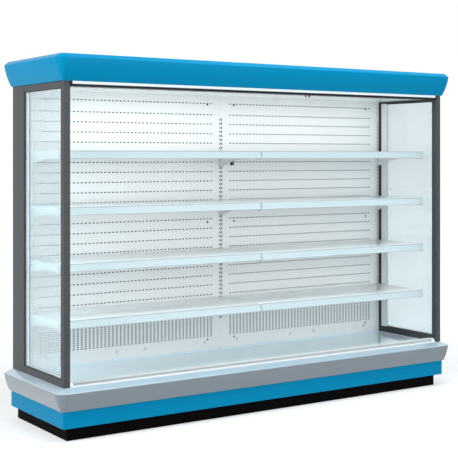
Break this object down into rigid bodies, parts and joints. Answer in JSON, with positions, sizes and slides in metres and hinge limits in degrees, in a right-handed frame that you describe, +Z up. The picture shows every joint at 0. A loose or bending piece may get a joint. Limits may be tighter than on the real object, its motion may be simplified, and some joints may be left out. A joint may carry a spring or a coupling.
{
  "type": "open multideck display fridge",
  "caption": "Wide open-front refrigerated wall display with glazed ends, slotted uprights, hung shelves, rounded canopy and bumper, circulation fans and a roll-down night blind.",
  "frame": {"origin": "middle of the footprint, on the floor", "axes": "+X along the fridge to the shopper's right, +Y to the back, the shopper stands on the -Y side, +Z up"},
  "size_m": [2.6708, 0.6954, 1.942],
  "materials": {
    "blue_paint": "gloss",
    "white_paint": "semi-gloss",
    "deck_white": "gloss",
    "frame_paint": "satin",
    "plinth_black": "satin",
    "bumper_grey": "satin",
    "foam_shell": "satin",
    "grey_plastic": "matte",
    "black_plastic": "satin",
    "clear_rail": "gloss",
    "lamp_diffuser": "satin",
    "anodised_frame": "satin",
    "fan_aluminium": "satin",
    "coil_aluminium": "satin",
    "zinc": "satin",
    "gasket_rubber": "matte",
    "end_glass": "polished",
    "blind_cloth": "woven"
  },
  "bodies": {
    "cabinet": {"levelling_feet": "zinc", "base_frame": "frame_paint", "plinth": "plinth_black", "skirt": "blue_paint", "bumper_rail": "bumper_grey", "base_tub": "foam_shell", "tub_floor_panel": "foam_shell", "drain_outlet": "black_plastic", "rear_wall": "foam_shell", "roof_panel": "foam_shell", "ceiling_panel": "white_paint", "air_outlet_honeycomb": "grey_plastic", "canopy_fascia": "blue_paint", "lamp_tube": "lamp_diffuser", "lamp_holders": "black_plastic", "left_front_post": "anodised_frame", "left_rear_post": "anodised_frame", "left_rails": "anodised_frame", "left_end_glass": "end_glass", "right_front_post": "anodised_frame", "right_rear_post": "anodised_frame", "right_rails": "anodised_frame", "right_end_glass": "end_glass", "glass_gaskets": "gasket_rubber", "left_upright": "white_paint", "centre_upright": "white_paint", "right_upright": "white_paint", "left_back_panel": "white_paint", "right_back_panel": "white_paint", "temperature_sensor": "black_plastic", "deck_clips": "zinc", "left_shelf_1": "white_paint", "left_shelf_2": "white_paint", "left_shelf_3": "white_paint", "left_shelf_4": "white_paint", "right_shelf_1": "white_paint", "right_shelf_2": "white_paint", "right_shelf_3": "white_paint", "right_shelf_4": "white_paint", "shelf_brackets_1": "white_paint", "price_rails_1": "clear_rail", "shelf_brackets_2": "white_paint", "price_rails_2": "clear_rail", "shelf_brackets_3": "white_paint", "price_rails_3": "clear_rail", "shelf_brackets_4": "white_paint", "price_rails_4": "clear_rail", "left_deck_pan": "deck_white", "right_deck_pan": "deck_white", "return_air_grille": "white_paint", "fan_plate": "zinc", "fan_motors": "black_plastic", "evaporator_coil": "coil_aluminium", "blind_brackets": "zinc"},
    "fan_1": {"fan_blades_1": "fan_aluminium"},
    "fan_2": {"fan_blades_2": "fan_aluminium"},
    "fan_3": {"fan_blades_3": "fan_aluminium"},
    "blind_roller": {"blind_roller": "blind_cloth"},
    "blind_bar": {"blind_bar": "black_plastic", "blind_curtain": "blind_cloth"}
  },
  "joints": [
    {"name": "fan_1_spin", "type": "hinge", "parent": "cabinet", "child": "fan_1", "pos_m": [-0.83333, -0.077, 0.18825], "axis": [0, 1, 0], "continuous": true},
    {"name": "fan_2_spin", "type": "hinge", "parent": "cabinet", "child": "fan_2", "pos_m": [0, -0.077, 0.18825], "axis": [0, 1, 0], "continuous": true},
    {"name": "fan_3_spin", "type": "hinge", "parent": "cabinet", "child": "fan_3", "pos_m": [0.83333, -0.077, 0.18825], "axis": [0, 1, 0], "continuous": true},
    {"name": "blind_slide", "type": "slide", "parent": "cabinet", "child": "blind_bar", "axis": [0, 0, -1], "range_m": [0, 1.48], "stiffness_N_per_m": 20, "springref_m": -1, "deforming": ["blind_curtain"]},
    {"name": "blind_roll", "type": "hinge", "parent": "cabinet", "child": "blind_roller", "pos_m": [0, -0.258, 1.85], "axis": [1, 0, 0], "range_deg": [0, 3900]}
  ],
  "couplings": [
    {"joint": "blind_roll", "follows": "blind_slide", "rad_per_m": 45.455}
  ]
}
